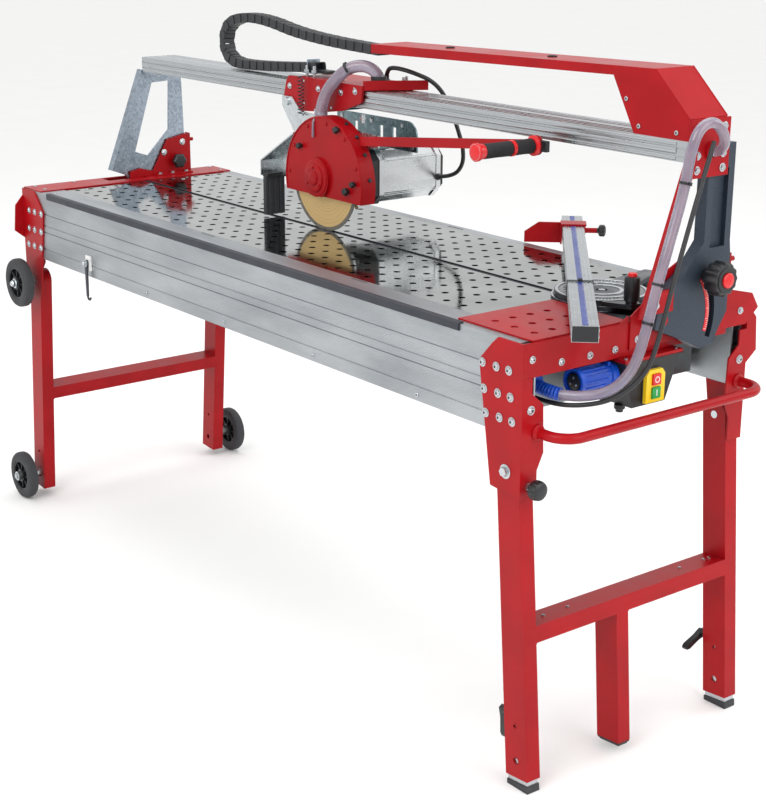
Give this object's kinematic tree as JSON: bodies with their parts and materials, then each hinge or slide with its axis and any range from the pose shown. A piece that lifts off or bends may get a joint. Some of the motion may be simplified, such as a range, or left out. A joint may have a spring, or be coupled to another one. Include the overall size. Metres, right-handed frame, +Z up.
{
  "type": "wet tile saw",
  "caption": "Bridge-type wet tile saw: perforated steel table on folding legs with wheels, water-cooled blade on a carriage that travels along a tilting overhead beam.",
  "frame": {"origin": "centre of the machine's footprint box on the floor, under the table", "axes": "+X along the cut to the operator's end with the push handle, +Y to the back of the machine, +Z up"},
  "size_m": [2.1936, 0.8372, 1.3643],
  "materials": {
    "rail_anodised": "ribbed natural anodised aluminium",
    "table_steel": "polished stainless sheet, nearly mirror",
    "red_powder": "red powder coat",
    "tank_steel": "matt stainless sheet",
    "black_plastic": "black moulded plastic",
    "steel_hardware": "bright zinc-plated steel",
    "yellow_plastic": "yellow switch plate",
    "blue_plastic": "blue industrial connector plastic",
    "scale_aluminium": "natural anodised fence profile",
    "foot_steel": "zinc-plated foot tube on a black pad",
    "black_rubber": "black rubber",
    "green_plastic": "green button",
    "red_plastic": "red button",
    "galvanised": "galvanised sheet with a cool spangle",
    "grey_casting": "dark blue-grey sand casting",
    "hose_clear": "cloudy lilac-grey tubing",
    "cable_black": "black cable sheath",
    "shield_grey": "galvanised sheet with slots",
    "motor_silver": "bare die-cast aluminium",
    "blade_tan": "brass-tinted steel disc with a grey segment rim"
  },
  "bodies": {
    "table": {"front_side_profile": "rail_anodised", "rear_side_profile": "rail_anodised", "front_table_plate": "table_steel", "rear_table_plate": "table_steel", "left_end_cover": "red_powder", "right_end_cover": "red_powder", "cross_members": "tank_steel", "water_tank": "tank_steel", "water_pump": "black_plastic", "end_aprons": "red_powder", "corner_brackets": "red_powder", "frame_bolts": "steel_hardware", "push_handle": "red_powder", "switch_box": "black_plastic", "switch_box_lid": "red_powder", "switch_plate": "yellow_plastic", "power_inlet": "blue_plastic", "right_tilt_plate": "red_powder", "left_tilt_lug": "red_powder", "protractor_plate": "scale_aluminium"},
    "right_legs": {"right_leg_frame": "red_powder"},
    "left_legs": {"left_leg_frame": "red_powder"},
    "near_foot": {"near_foot": "foot_steel"},
    "far_foot": {"far_foot": "foot_steel"},
    "near_lever": {"near_foot_lever": "black_plastic"},
    "far_lever": {"far_foot_lever": "black_plastic"},
    "upper_near_wheel": {"upper_near_wheel": "black_rubber"},
    "upper_far_wheel": {"upper_far_wheel": "black_rubber"},
    "lower_near_wheel": {"lower_near_wheel": "black_rubber"},
    "lower_far_wheel": {"lower_far_wheel": "black_rubber"},
    "lock_knob": {"leg_lock_knob": "black_plastic"},
    "hook": {"transport_hook": "black_rubber"},
    "start_button": {"start_button": "green_plastic"},
    "stop_button": {"stop_button": "red_plastic"},
    "clamp_knob": {"tilt_clamp_knob": "black_plastic"},
    "bridge": {"left_stand": "galvanised", "right_stand": "grey_casting", "right_stay": "red_powder", "guide_beam": "rail_anodised", "cable_arm": "red_powder", "main_hose": "hose_clear", "power_cable": "cable_black"},
    "carriage": {"carriage": "red_powder", "carriage_rollers": "steel_hardware", "cable_chain": "black_plastic", "head_spring": "steel_hardware"},
    "head": {"head_plate": "shield_grey", "motor": "motor_silver", "blade_guard": "red_powder", "splash_hood": "galvanised", "splash_flap": "black_rubber", "plunge_handle": "red_powder", "handle_grip": "black_rubber", "water_hose": "hose_clear", "motor_cable": "cable_black"},
    "spindle": {"blade": "blade_tan", "spindle_flanges": "steel_hardware"},
    "fence": {"fence_bar": "scale_aluminium", "fence_swivel": "galvanised"},
    "fence_stop": {"fence_stop": "red_powder"}
  },
  "joints": [
    {"name": "right_leg_fold", "type": "hinge", "parent": "table", "child": "right_legs", "pos_m": [0.949, -0.025, 0.636], "axis": [0, 1, 0], "range_deg": [0, 94]},
    {"name": "left_leg_fold", "type": "hinge", "parent": "table", "child": "left_legs", "pos_m": [-0.981, -0.025, 0.635], "axis": [0, -1, 0], "range_deg": [0, 94]},
    {"name": "near_foot_slide", "type": "slide", "parent": "right_legs", "child": "near_foot", "axis": [0.0821, 0, -0.9966], "range_m": [0, 0.05]},
    {"name": "far_foot_slide", "type": "slide", "parent": "right_legs", "child": "far_foot", "axis": [0.0821, 0, -0.9966], "range_m": [0, 0.05]},
    {"name": "near_lever_turn", "type": "hinge", "parent": "right_legs", "child": "near_lever", "pos_m": [0.95452, -0.3285, 0.14279], "axis": [0.9966, 0, 0.0821], "range_deg": [-60, 60]},
    {"name": "far_lever_turn", "type": "hinge", "parent": "right_legs", "child": "far_lever", "pos_m": [0.95452, 0.2365, 0.14279], "axis": [0.9966, 0, 0.0821], "range_deg": [-30, 90]},
    {"name": "upper_near_wheel_spin", "type": "hinge", "parent": "table", "child": "upper_near_wheel", "pos_m": [-0.981, -0.391, 0.635], "axis": [0, 1, 0], "continuous": true},
    {"name": "upper_far_wheel_spin", "type": "hinge", "parent": "table", "child": "upper_far_wheel", "pos_m": [-0.981, 0.299, 0.635], "axis": [0, 1, 0], "continuous": true},
    {"name": "lower_near_wheel_spin", "type": "hinge", "parent": "left_legs", "child": "lower_near_wheel", "pos_m": [-1.03027, -0.391, 0.06613], "axis": [0, 1, 0], "continuous": true},
    {"name": "lower_far_wheel_spin", "type": "hinge", "parent": "left_legs", "child": "lower_far_wheel", "pos_m": [-1.03027, 0.299, 0.06613], "axis": [0, 1, 0], "continuous": true},
    {"name": "lock_knob_pull", "type": "slide", "parent": "table", "child": "lock_knob", "axis": [1, 0, 0], "range_m": [0, 0.01], "stiffness_N_per_m": 300},
    {"name": "hook_swing", "type": "hinge", "parent": "table", "child": "hook", "pos_m": [-0.656, -0.356, 0.742], "axis": [0, 1, 0], "range_deg": [-80, 80]},
    {"name": "start_press", "type": "slide", "parent": "table", "child": "start_button", "axis": [-1, 0, 0], "range_m": [0, 0.003], "stiffness_N_per_m": 400},
    {"name": "stop_press", "type": "slide", "parent": "table", "child": "stop_button", "axis": [-1, 0, 0], "range_m": [0, 0.003], "stiffness_N_per_m": 400},
    {"name": "clamp_knob_turn", "type": "hinge", "parent": "table", "child": "clamp_knob", "pos_m": [1.044, 0.08278, 0.95769], "axis": [1, 0, 0], "range_deg": [-180, 180]},
    {"name": "bridge_tilt", "type": "hinge", "parent": "table", "child": "bridge", "pos_m": [-0.016, -0.025, 0.885], "axis": [1, 0, 0], "range_deg": [0, 45], "deforming": ["main_hose", "power_cable", "splash_flap"]},
    {"name": "carriage_travel", "type": "slide", "parent": "bridge", "child": "carriage", "axis": [1, 0, 0], "range_m": [-0.62, 0.57], "deforming": ["cable_chain"]},
    {"name": "head_plunge", "type": "hinge", "parent": "carriage", "child": "head", "pos_m": [-0.251, 0, 1.168], "axis": [0, -1, 0], "range_deg": [0, 12], "deforming": ["head_spring", "water_hose", "motor_cable"]},
    {"name": "spindle_spin", "type": "hinge", "parent": "head", "child": "spindle", "pos_m": [-0.066, -0.025, 1.01], "axis": [0, 1, 0], "continuous": true},
    {"name": "fence_swivel_turn", "type": "hinge", "parent": "table", "child": "fence", "pos_m": [0.814, 0.016, 0.895], "axis": [0, 0, 1], "range_deg": [-48, 10]},
    {"name": "fence_stop_slide", "type": "slide", "parent": "fence", "child": "fence_stop", "axis": [-0.7349, 0.6782, 0], "range_m": [-0.37, 0.06]}
  ]
}
